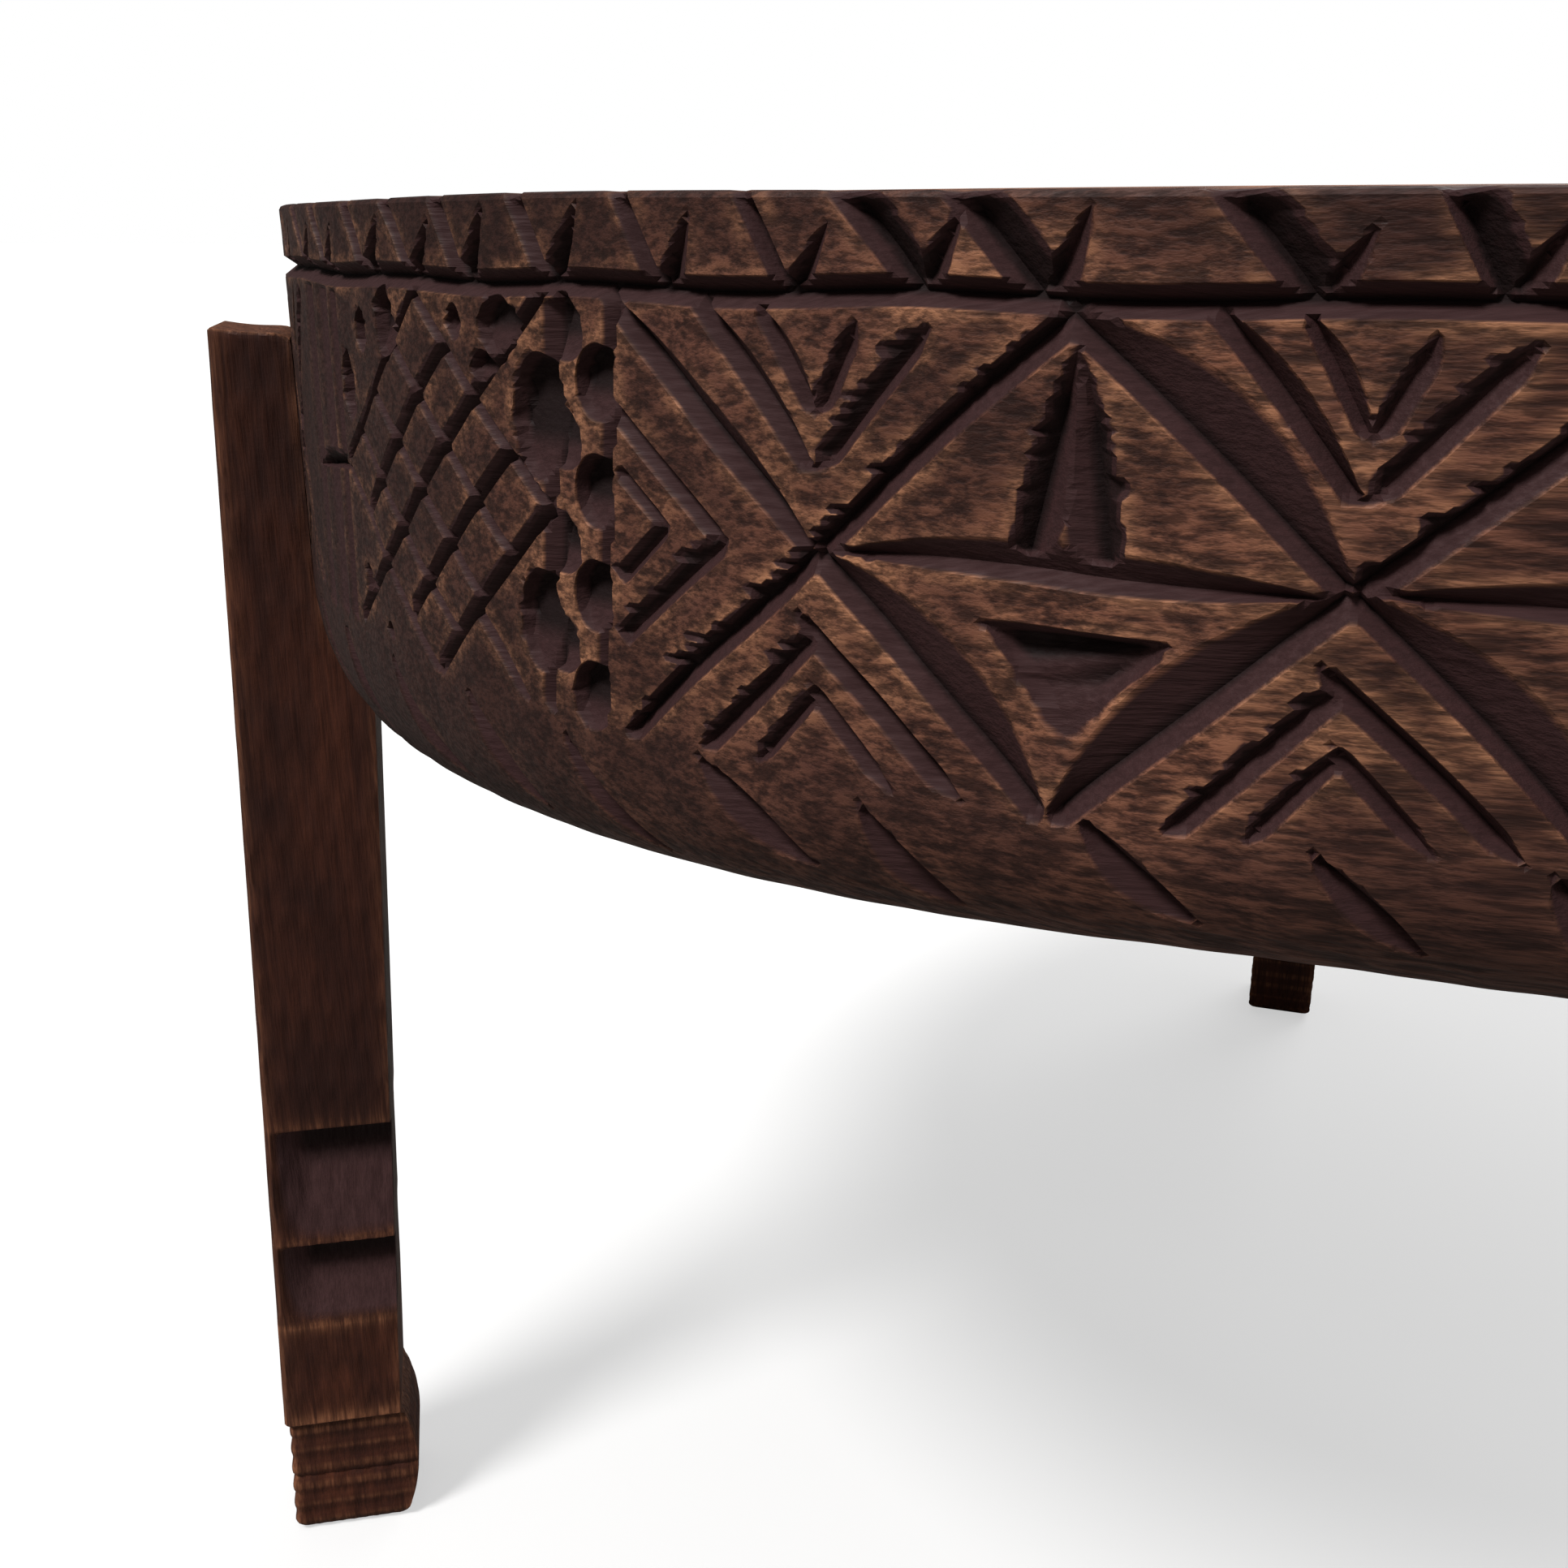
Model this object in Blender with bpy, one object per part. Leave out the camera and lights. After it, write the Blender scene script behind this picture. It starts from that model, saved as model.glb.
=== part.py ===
"""Round carved wooden bowl that stands on three notched legs, screwed on from inside the bowl.

Metres, +Z up. The origin is on the floor, at the middle of the whole object's box. The front is -Y,
and the bowl's axis stands a little in front of the origin, because one leg points straight back.
"""

import math

import bmesh
import bpy
from mathutils import Matrix

# Driving dimensions
RIM_R = 0.300            # outer radius of the bowl's upright wall
RIM_Z = 0.4015           # height of the rim's top face above the floor
RIM_BAND_H = 0.0125      # plain height of the rim band, above the turned groove
GROOVE_H = 0.0060        # height of the groove under the rim band
GROOVE_DEPTH = 0.0045
GROOVE_POINT = 0.62      # how far up the groove's deepest line lies, as a share of its height
WALL_H = 0.0905          # rim's top face to the foot of the upright wall
WALL_T = 0.0230          # thickness of the upright wall
TURN_RUN = 0.0180        # rounded turn from the wall to the underside: how far it reaches in
TURN_DROP = 0.0186       # and how far it drops
LEG_DIP = 0.0081         # how much lower that turn hangs at the legs than midway between them
DIP_SOFTNESS = 0.1       # how soft the dip's change is midway between two legs
UNDER_FLAT_R = 0.180     # radius of the flat middle of the underside
UNDER_Z = RIM_Z - 0.1250
FLOOR_T = 0.0240         # thickness of the bowl's floor
INNER_BEND_R = 0.034     # radius between the inner wall and the inner floor
EDGE_R = 0.0025          # rounding of the rim's two edges
BOWL_SIDES = 96

LEG_AZIMUTHS = {"leg_front_left": -60.0, "leg_front_right": 60.0, "leg_back": 180.0}
LEG_TOP_Z = RIM_Z - 0.0290
LEG_TOP_OUT_R = 1.065 * RIM_R       # outer face of the leg at its top
LEG_FOOT_OUT_R = 1.115 * RIM_R      # outer face of the leg at the floor
LEG_DEPTH_TOP = 0.0370              # radial depth of the leg, before the bowl is let into it
LEG_DEPTH_FOOT = 0.0350
LEG_W = 0.0340                      # width of the leg, along the wall
LEG_EDGE = 0.0015                   # chamfer worn on the leg's long edges
NOTCH_TOPS = (0.1455, 0.1066)       # heights of the two stop cuts across each side of the leg
NOTCH_DEPTH = 0.0060
NOTCH_STEEP_H = 0.0016              # height of the steep face at the top of a notch
NOTCH_FLAT_H = 0.0060               # height of its deepest part, before it slopes back out
NOTCH_STOP = 0.0037                 # wood left whole between a notch and the leg's outer face
NOTCH_END_RUN = 0.0031              # slope at that end of the notch
BLOCK_TOP_Z = 0.0787                # plain block between the lower notch and the foot
FOOT_TOP_Z = 0.0415
FOOT_STEP_H = 0.0012
FOOT_INSET = 0.0012                 # how far the foot stands back from the block above it
FOOT_SWELL = 0.0048                 # how far the foot swells towards the bowl's axis
FOOT_CURVE = ((1.0, 0.6), (0.72, 1.0), (0.38, 0.95), (0.0, 0.0))   # shares of the foot's height and swell
INNER_NOTCH = 0.0006                # how far the inner face stands back at a stop cut
INNER_LIP = 0.0008                  # how far it stands out where a notch ends
BLOCK_SWELL = 0.0027                # how far it stands out at the block's lower edge

SCREW_DROPS = (0.042, 0.070)        # below the rim's top face
SCREW_HEAD_R = 0.0048
SCREW_SHANK_R = 0.0024
SCREW_CORE_R = 0.0017
SCREW_LENGTH = 0.0330
SCREW_HEAD_H = 0.0030
SCREW_HEAD_EDGE = 0.0006            # height of the head's rim, above its cone
SCREW_SLOT_W = 0.0013
SCREW_SLOT_DEPTH = 0.0012
SCREW_PLAIN = 0.42                  # share of the screw's length without thread
SCREW_TIP = 0.0050                  # length of the point, past the thread
SCREW_PITCH = 0.0026
SCREW_SIDES = 12
SCREW_SINK = 0.0006                 # how far a head lies below the inner wall

GAP = 0.0003                        # between pieces that touch

BOWL_AXIS_Y = (RIM_R - LEG_FOOT_OUT_R) / 2
BOWL_DARK = (0.070, 0.036, 0.023)
LEG_DARK = (0.045, 0.020, 0.012)
STEEL = (0.34, 0.31, 0.27)


def clear_scene():
    for old in list(bpy.data.objects):
        bpy.data.objects.remove(old, do_unlink=True)


def material(name, colour, roughness, metallic=0.0):
    made = bpy.data.materials.new(name)
    made.use_nodes = True
    shader = made.node_tree.nodes["Principled BSDF"]
    shader.inputs["Base Color"].default_value = (*colour, 1.0)
    shader.inputs["Roughness"].default_value = roughness
    shader.inputs["Metallic"].default_value = metallic
    return made


def add_object(name, bm, surface=None):
    """Puts a bmesh into the scene as an object, with its faces pointing out."""
    bmesh.ops.recalc_face_normals(bm, faces=bm.faces)
    mesh = bpy.data.meshes.new(name)
    bm.to_mesh(mesh)
    bm.free()
    made = bpy.data.objects.new(name, mesh)
    bpy.context.scene.collection.objects.link(made)
    if surface is not None:
        mesh.materials.append(surface)
    return made


def arc(centre, radii, start, end, steps):
    """Points on an ellipse in the (radius, height) plane, angles in degrees from +radius."""
    angles = [math.radians(start + (end - start) * i / steps) for i in range(steps + 1)]
    return [(centre[0] + radii[0] * math.cos(a), centre[1] + radii[1] * math.sin(a)) for a in angles]


def turned(profile, sides):
    """A solid of revolution about Z. The profile starts and ends on the axis, or is a closed ring."""
    bm = bmesh.new()
    points = [bm.verts.new((r, 0.0, z)) for r, z in profile]
    edges = [bm.edges.new(pair) for pair in zip(points, points[1:])]
    bmesh.ops.spin(bm, geom=points + edges, axis=(0, 0, 1), cent=(0, 0, 0), dvec=(0, 0, 0),
                   angle=math.tau, steps=sides, use_merge=True, use_duplicate=False)
    bmesh.ops.remove_doubles(bm, verts=bm.verts, dist=1e-6)
    return bm


def outer_profile(grow=0.0):
    """The bowl's outside from the middle of its underside up to the groove under the rim."""
    under = [(0.0, UNDER_Z - grow), (UNDER_FLAT_R, UNDER_Z - grow)]
    turn_centre = (RIM_R - TURN_RUN, RIM_Z - WALL_H)
    turn = arc(turn_centre, (TURN_RUN + grow, TURN_DROP + grow), -90, 0, 7)
    groove_low_z = RIM_Z - RIM_BAND_H - GROOVE_H
    groove = [(RIM_R + grow, groove_low_z),
              (RIM_R + grow - GROOVE_DEPTH, groove_low_z + GROOVE_POINT * GROOVE_H),
              (RIM_R + grow, groove_low_z + GROOVE_H)]
    return under + turn + groove


def bowl_profile():
    inner_r = RIM_R - WALL_T
    floor_z = UNDER_Z + FLOOR_T
    rim_out = arc((RIM_R - EDGE_R, RIM_Z - EDGE_R), (EDGE_R, EDGE_R), 0, 90, 3)
    rim_in = arc((inner_r + EDGE_R, RIM_Z - EDGE_R), (EDGE_R, EDGE_R), 90, 180, 3)
    bend = arc((inner_r - INNER_BEND_R, floor_z + INNER_BEND_R), (INNER_BEND_R, INNER_BEND_R), 0, -90, 7)
    return outer_profile() + rim_out + rim_in + bend + [(0.0, floor_z)]


def leg_nearness(azimuth):
    """0 midway between two legs and 1 at a leg, rising quickly at first. Azimuth in radians from -Y."""
    wave = math.sin(len(LEG_AZIMUTHS) * azimuth / 2)
    return (math.hypot(wave, DIP_SOFTNESS) - DIP_SOFTNESS) / (math.hypot(1.0, DIP_SOFTNESS) - DIP_SOFTNESS)


def dip_towards_legs(bm):
    """Lowers the turn under the wall near each leg, where more wood is left to carry the bowl."""
    wall_foot_z = RIM_Z - WALL_H
    for vert in bm.verts:
        r = math.hypot(vert.co.x, vert.co.y)
        depth = (wall_foot_z - vert.co.z) / TURN_DROP
        inside = r < RIM_R - WALL_T and vert.co.z > UNDER_Z + FLOOR_T - GAP
        if depth <= 0.0 or r < UNDER_FLAT_R + 2 * GAP or inside:
            continue
        azimuth = math.atan2(vert.co.x, -vert.co.y)
        vert.co.z -= LEG_DIP * min(depth, 1.0) * leg_nearness(azimuth)
    return bm


def place_on_axis(made):
    made.location = (0.0, BOWL_AXIS_Y, 0.0)
    return made


def radial_matrix(azimuth):
    """Turns a shape that points out along -Y so that it points out at this azimuth, in degrees."""
    return Matrix.Translation((0.0, BOWL_AXIS_Y, 0.0)) @ Matrix.Rotation(math.radians(azimuth), 4, "Z")


def leg_edge_r(z, top_r, foot_r):
    return foot_r + (top_r - foot_r) * z / LEG_TOP_Z


def leg_stations():
    """(height, inset of the two sides, swell of the inner face), from the leg's top to the floor."""
    stations = [(LEG_TOP_Z, 0.0, 0.0)]
    slope_ends = (*NOTCH_TOPS[1:], BLOCK_TOP_Z)
    for top, slope_end in zip(NOTCH_TOPS, slope_ends):
        stations += [(top, 0.0, 0.0),
                     (top - NOTCH_STEEP_H, NOTCH_DEPTH, -INNER_NOTCH),
                     (top - NOTCH_FLAT_H, 0.9 * NOTCH_DEPTH, INNER_LIP / 2),
                     (slope_end + NOTCH_STEEP_H, 0.1 * NOTCH_DEPTH, INNER_LIP)]
    stations += [(BLOCK_TOP_Z, 0.0, INNER_LIP), (FOOT_TOP_Z, 0.0, BLOCK_SWELL)]
    for height, swell in FOOT_CURVE:
        stations.append((height * (FOOT_TOP_Z - FOOT_STEP_H), FOOT_INSET, swell * FOOT_SWELL))
    return stations


def leg_ring(bm, z, side_inset, swell):
    """One cross-section of the leg. Its side cuts stop short of the outer face, which stays whole."""
    outer = leg_edge_r(z, LEG_TOP_OUT_R, LEG_FOOT_OUT_R)
    inner = leg_edge_r(z, LEG_TOP_OUT_R - LEG_DEPTH_TOP, LEG_FOOT_OUT_R - LEG_DEPTH_FOOT) - swell
    half = LEG_W / 2
    cut = half - side_inset
    stop_r = outer - NOTCH_STOP
    right = [(half - LEG_EDGE, outer), (half, outer - LEG_EDGE), (half, stop_r),
             (cut, stop_r - NOTCH_END_RUN), (cut, inner + LEG_EDGE), (cut - LEG_EDGE, inner)]
    left = [(-x, r) for x, r in reversed(right)]
    return [bm.verts.new((x, -r, z)) for x, r in right + left]


def leg_stick():
    """The whole leg before the bowl is let into it: rings joined down its length, with flat ends."""
    bm = bmesh.new()
    rings = [leg_ring(bm, *station) for station in leg_stations()]
    count = len(rings[0])
    for upper, lower in zip(rings, rings[1:]):
        for i in range(count):
            j = (i + 1) % count
            bm.faces.new((upper[i], upper[j], lower[j], lower[i]))
    bm.faces.new(rings[0])
    bm.faces.new(rings[-1])
    bmesh.ops.dissolve_degenerate(bm, dist=1e-6, edges=bm.edges)
    bmesh.ops.remove_doubles(bm, verts=bm.verts, dist=1e-6)
    return bm


def cut(made, cutter):
    """Takes the cutter's shape out of an object, and hides the cutter."""
    cutter.hide_render = True
    cutter.display_type = "WIRE"
    modifier = made.modifiers.new("cut_" + cutter.name, "BOOLEAN")
    modifier.operation = "DIFFERENCE"
    modifier.solver = "EXACT"
    modifier.object = cutter


def screw_profile():
    """A countersunk wood screw along Z: its head's flat face at 0, and its point at SCREW_LENGTH."""
    thread_start = SCREW_PLAIN * SCREW_LENGTH
    thread_end = SCREW_LENGTH - SCREW_TIP
    points = [(0.0, 0.0), (SCREW_HEAD_R, 0.0), (SCREW_HEAD_R, SCREW_HEAD_EDGE),
              (SCREW_SHANK_R, SCREW_HEAD_H), (SCREW_SHANK_R, thread_start)]
    for turn in range(int((thread_end - thread_start) / SCREW_PITCH)):
        at = thread_start + (turn + 0.5) * SCREW_PITCH
        points.append((SCREW_CORE_R, at))
        points.append((SCREW_SHANK_R, at + 0.5 * SCREW_PITCH))
    return points + [(SCREW_CORE_R, thread_end + SCREW_PITCH / 4), (0.0, SCREW_LENGTH)]


def screw_hole_profile():
    """The countersunk hole that clears the screw by the gap, open past the bowl's inner face."""
    mouth = -SCREW_HEAD_H
    return [(0.0, mouth), (SCREW_HEAD_R + GAP, mouth), (SCREW_HEAD_R + GAP, SCREW_HEAD_EDGE),
            (SCREW_SHANK_R + GAP, SCREW_HEAD_H + GAP), (SCREW_SHANK_R + GAP, SCREW_LENGTH + GAP),
            (0.0, SCREW_LENGTH + GAP)]


def screw_matrix(azimuth, drop):
    """Lays a screw's axis level, from the bowl's inner wall out into the leg."""
    head = Matrix.Translation((0.0, -(RIM_R - WALL_T + SCREW_SINK), RIM_Z - drop))
    return radial_matrix(azimuth) @ head @ Matrix.Rotation(math.radians(90), 4, "X")


def slot_cutter(name, matrix):
    bm = bmesh.new()
    bmesh.ops.create_cube(bm, size=1.0)
    bmesh.ops.scale(bm, vec=(SCREW_SLOT_W, 4 * SCREW_HEAD_R, 2 * SCREW_SLOT_DEPTH), verts=bm.verts)
    made = add_object(name, bm)
    made.matrix_world = matrix
    return made


def build_bowl(wood):
    bowl = add_object("bowl", dip_towards_legs(turned(bowl_profile(), BOWL_SIDES)), wood)
    bowl.data.shade_smooth()
    bowl.data.set_sharp_from_angle(angle=math.radians(30))
    return place_on_axis(bowl)


def build_leg(name, azimuth, wood, bowl_envelope):
    leg = add_object(name, leg_stick(), wood)
    leg.matrix_world = radial_matrix(azimuth)
    cut(leg, bowl_envelope)
    return leg


def build_screw(name, azimuth, drop, steel, holed):
    """One screw, with its slot, and its hole in the bowl's wall and in the leg."""
    matrix = screw_matrix(azimuth, drop)
    screw = add_object(name, turned(screw_profile(), SCREW_SIDES), steel)
    screw.matrix_world = matrix
    cut(screw, slot_cutter(name + "_slot", matrix))
    hole = add_object(name + "_hole", turned(screw_hole_profile(), SCREW_SIDES))
    hole.matrix_world = matrix
    for made in holed:
        cut(made, hole)


def main():
    clear_scene()
    carved_wood = material("carved_wood", BOWL_DARK, 0.58)
    leg_wood = material("leg_wood", LEG_DARK, 0.50)
    steel = material("screw_steel", STEEL, 0.42, 0.9)
    bowl = build_bowl(carved_wood)
    solid = outer_profile(GAP)
    envelope = turned(solid + [(solid[-1][0], RIM_Z + GAP), (0.0, RIM_Z + GAP)], BOWL_SIDES)
    bowl_envelope = place_on_axis(add_object("bowl_envelope", dip_towards_legs(envelope)))
    for name, azimuth in LEG_AZIMUTHS.items():
        leg = build_leg(name, azimuth, leg_wood, bowl_envelope)
        place = name.removeprefix("leg_")
        for position, drop in zip(("upper", "lower"), SCREW_DROPS):
            build_screw(f"screw_{place}_{position}", azimuth, drop, steel, (bowl, leg))


main()
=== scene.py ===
import math

import bpy
import numpy as np
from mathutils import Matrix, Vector


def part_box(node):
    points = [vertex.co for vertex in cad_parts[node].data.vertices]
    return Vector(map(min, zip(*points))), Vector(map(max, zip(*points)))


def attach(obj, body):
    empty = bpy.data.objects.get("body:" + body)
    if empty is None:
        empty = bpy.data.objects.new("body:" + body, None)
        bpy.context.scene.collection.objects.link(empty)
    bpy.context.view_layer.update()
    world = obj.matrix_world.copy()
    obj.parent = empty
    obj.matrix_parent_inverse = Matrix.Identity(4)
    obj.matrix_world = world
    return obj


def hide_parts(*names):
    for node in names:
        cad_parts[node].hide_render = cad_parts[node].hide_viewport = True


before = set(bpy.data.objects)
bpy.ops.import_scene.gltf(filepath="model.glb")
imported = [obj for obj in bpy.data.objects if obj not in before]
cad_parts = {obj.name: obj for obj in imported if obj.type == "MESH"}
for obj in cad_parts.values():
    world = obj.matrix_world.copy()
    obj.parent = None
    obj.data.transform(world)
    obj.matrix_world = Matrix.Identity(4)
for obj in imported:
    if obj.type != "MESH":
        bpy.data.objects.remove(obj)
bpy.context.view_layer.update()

# Lengths are in metres, except in the carving's drawing: there x runs along the wall and y down from the
# rim's top face, both in millimetres, and angles are in degrees.
MM = 0.001
BOWL_LOW, BOWL_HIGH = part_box("bowl")
RIM_R = (BOWL_HIGH[0] - BOWL_LOW[0]) / 2
AXIS_Y = (BOWL_HIGH[1] + BOWL_LOW[1]) / 2
RIM_Z = BOWL_HIGH[2]
UNDER_Z = RIM_Z - 0.125
FLOOR_Z = UNDER_Z + 0.024
INNER_R = RIM_R - 0.023
INNER_BEND_R = 0.034  # between the inside's floor and its wall
EDGE_R = 0.0013  # the rim's two edges
WALL_H = 0.0905  # from the rim's top face to the turn under the wall
TURN_RUN, TURN_DROP = 0.018, 0.0203  # how far the turn goes inward and down
TURN_LENGTH = 31  # in the carving's millimetres
LEG_DIP, DIP_SOFTNESS = 0.0103, 0.1  # how much lower the turn's foot is at a leg
UNDER_FLAT_R = 0.18
GRAIN_TURN = math.radians(12)  # from the bowl's left and right to the grain of its plank
LEGS = {"leg_front_left": -60, "leg_front_right": 60, "leg_back": 180}  # each leg's azimuth
LEG_COUNT = len(LEGS)
LEG_GAP = 0.0003  # between a leg and the bowl
SCREWS = [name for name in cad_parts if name.startswith("screw_")]

COLUMNS = 1920  # round the carved wall
DEG = math.radians(1) * RIM_R / MM  # millimetres along the wall in one degree
SECTOR = 360 / LEG_COUNT
PATTERN_TURN = 0.75  # how far right of the front the pattern's middle crossing stands
GROOVE_TOP, GROOVE_LINE, BAND_TOP = 11.7, 14.1, 16.6  # the turned groove, and the carved band under it
GROOVE_DEEP = 3.4
BAND_MID, BAND_LOW = 50.8, 87.8
CELL = 7.5 * DEG  # half a cell: from a crossing to the next apex
PANEL_END = 3 * CELL  # from the middle crossing to the panel's end line
STRIP_W = 2.7 * DEG  # the strip of scoops beside a panel
STRIP_BAND = 3.2  # the dark band beside an upright strip
LATTICE_W = 15.6 * DEG  # the net of small diamonds
FACETS_W = 33  # the plain facets between a net and a leg's panel
PAD_HALF = 22  # half the plain patch that a leg covers
UPRIGHT_LEAN = 4.6  # how far an upright line leans from its top to its bottom
SCOOP_PITCH = 17.6  # from one scoop of an upright strip to the next
LOW_PITCH = 6.24  # degrees between the single cuts under the pattern
RIM_CUT_RISE = 3  # how far past the rim's edge the zigzag's long cuts run out
# The rim band's zigzag: each slanting cut's start and lean in degrees, and where its chip's tip lies.
RIM_ZIGZAG = ((-38.6, 1.6, 3), (-34.9, 1.9, 3.3), (-31, 1.5, 0.9), (-26.2, 1.5, 1.1), (-21.2, 1.5, 2.5),
              (-16.6, 1.4, 4.2), (-13.5, 2.4, 1.7), (-10, 2.5, 1.4), (-3.1, 2.1, 4.4), (1.9, 1.6, 2.4))


# ---- numbers

def unit(value):
    """Holds a value between 0 and 1."""
    return np.clip(value, 0, 1)


def lattice_noise(x, y, seed):
    """Smooth random values from -1 to 1 on a lattice one unit wide."""
    def corner(i, j):
        value = np.sin(i * 127.1 + j * 311.7 + seed * 74.7) * 43758.5453
        return 2 * (value - np.floor(value)) - 1
    i, j = np.floor(x), np.floor(y)
    s, t = x - i, y - j
    s, t = s * s * (3 - 2 * s), t * t * (3 - 2 * t)
    upper = corner(i, j) * (1 - s) + corner(i + 1, j) * s
    lower = corner(i, j + 1) * (1 - s) + corner(i + 1, j + 1) * s
    return upper * (1 - t) + lower * t


def ripple(azimuth, along, seed, waves, length):
    """A smooth wobble that closes round the bowl: azimuth in radians, along in millimetres."""
    draw = np.random.default_rng(seed)
    total = np.zeros(np.broadcast(azimuth, along).shape)
    for _ in range(7):
        total = total + np.sin(draw.integers(waves // 3, waves + 1) * azimuth
                               + along * draw.uniform(-6.3, 6.3) / length + draw.uniform(0, 6.3))
    return total / 2.6


def leg_nearness(azimuth):
    """0 midway between two legs and 1 at a leg. Azimuth in radians from the front."""
    wave = np.sin(LEG_COUNT * azimuth / 2)
    return (np.hypot(wave, DIP_SOFTNESS) - DIP_SOFTNESS) / (math.hypot(1, DIP_SOFTNESS) - DIP_SOFTNESS)


# ---- the carving's cuts

def upright(x, y):
    """Where an upright line that starts at x is at y: it leans towards the nearest leg as it goes down."""
    third = SECTOR * DEG
    side = (x + third / 2) % third - third / 2
    return x + math.copysign(UPRIGHT_LEAN, side) * (y - BAND_TOP) / (BAND_LOW - BAND_TOP)


def snap(off, normal, inside, cell):
    """Which points move onto a line, and how far along x and y. off is how far they lie off it."""
    steep = abs(normal[1]) < abs(normal[0])
    move = -off / (normal[0] if steep else normal[1])
    near, still = inside & (np.abs(move) < 0.5 * cell), np.zeros_like(move)
    return (near, move, still) if steep else (near, still, move)


def box_round(points, side):
    """The low and the high corner of a box that stands side off the points."""
    return np.min(points, 0) - side, np.max(points, 0) + side


class Cut:
    """What the kinds of cut share."""

    def ragged(self, x, y):
        """How torn the wood is at each point, from 0 to 1."""
        return np.zeros_like(x)


class Groove(Cut):
    """A knife cut from one point to another: two slanted faces that meet in a line.

    up and down are the widths of the faces above and below that line. leaf names the faces, u and d, that
    swell in the middle, and close at the far end if shut is 1; the others keep their width. run says how
    soon the cut is deep at its two ends, and torn frays the upper face's edge."""

    def __init__(self, start, end, up=0.9, down=3, depth=2.4, leaf="", run=(3, 3), torn=0, shut=1):
        self.start, self.end = np.array(start, float), np.array(end, float)
        self.length = float(np.hypot(*(self.end - self.start)))
        self.way = (self.end - self.start) / self.length
        normal = np.array([self.way[1], -self.way[0]])
        if normal[1] > 1e-6 or (abs(normal[1]) <= 1e-6 and normal[0] > 0):
            normal = -normal
        self.normal = normal
        self.up, self.down, self.depth = up, down, depth
        self.leaf, self.run, self.torn, self.shut = leaf, run, torn, shut

    def reach(self):
        return box_round((self.start, self.end), max(self.up, self.down) + 3.5 * self.torn + 1)

    def place(self, x, y):
        dx, dy = x - self.start[0], y - self.start[1]
        along = (dx * self.way[0] + dy * self.way[1]) / self.length
        return along, dx * self.normal[0] + dy * self.normal[1]

    def fullness(self, along):
        """0 at the cut's two ends, and 1 from where it is fully deep."""
        first = unit(along * self.length / self.run[0])
        last = unit((1 - along) * self.length / self.run[1])
        return np.minimum(first, last)

    def swell(self, along, face):
        inside = unit(along)
        if face in self.leaf:
            return np.sin(math.pi * inside * self.shut) ** 0.8
        return self.fullness(inside) ** 0.75

    def cut(self, x, y):
        along, off = self.place(x, y)
        full = self.fullness(along)
        deep = self.depth * full ** 0.7
        up = self.up * self.swell(along, "u") + 1e-4
        down = self.down * self.swell(along, "d") + 1e-4
        if self.torn:
            fibre = lattice_noise(x / 9, y / 0.75, self.length)
            fibre = fibre + 0.55 * lattice_noise(x / 4, y / 0.4, 7)
            up = up + self.torn * unit(fibre - 0.1) * 2.2 * full
        width = np.where(off > 0, up, down)
        return np.where((along > 0) & (along < 1), deep * (1 - np.abs(off) / width), 0)

    def ragged(self, x, y):
        _, off = self.place(x, y)
        return min(4.5 * self.torn, 1) * unit(off / 0.4)

    def pulls(self, x, y, cell):
        """The moves onto the cut's line and onto the edges of its faces, but not onto a torn edge."""
        along, off = self.place(x, y)
        edges = [off]
        if not self.torn:
            edges.append(off - self.up * self.swell(along, "u"))
        edges.append(off + self.down * self.swell(along, "d"))
        return [snap(edge, self.normal, (along > 0) & (along < 1), cell) for edge in edges]


class Gouge(Cut):
    """A scoop struck from above: a steep round wall at its top and a floor that comes up below it."""

    def __init__(self, centre, width, height, depth=3, lean=0, torn=0, line=None):
        self.centre, self.width, self.height = centre, width / 2, height / 2
        self.depth, self.lean, self.torn = depth, lean, torn
        self.line = line  # the upright line that it stops at, and the side of it that it lies on

    def reach(self):
        return box_round([self.centre], np.array((self.width, self.height)) + 1.5)

    def place(self, x, y):
        down = (y - self.centre[1]) / self.height
        return (x - self.centre[0] - self.lean * (y - self.centre[1])) / self.width, down

    def cut(self, x, y):
        across, down = self.place(x, y)
        if self.torn:
            across = across * (1 + self.torn * lattice_noise(x / 5, y / 0.8, 3))
        rim = 1 - across ** 2 - down ** 2
        steep = unit(rim * 2.6) ** 0.6
        deep = self.depth * steep * unit(0.8 - 0.55 * down)
        if self.line:
            past = (x - upright(self.line[0], y)) * self.line[1]
            deep = deep * unit(past / 0.5)
        return deep

    def pulls(self, x, y, cell):
        across, down = self.place(x, y)
        far = np.hypot(across, down) + 1e-9
        near = np.abs(far - 1) * min(self.width, self.height) < 0.4 * cell
        share = 1 / far - 1
        return [(near, share * across * self.width, share * down * self.height)]


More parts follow.
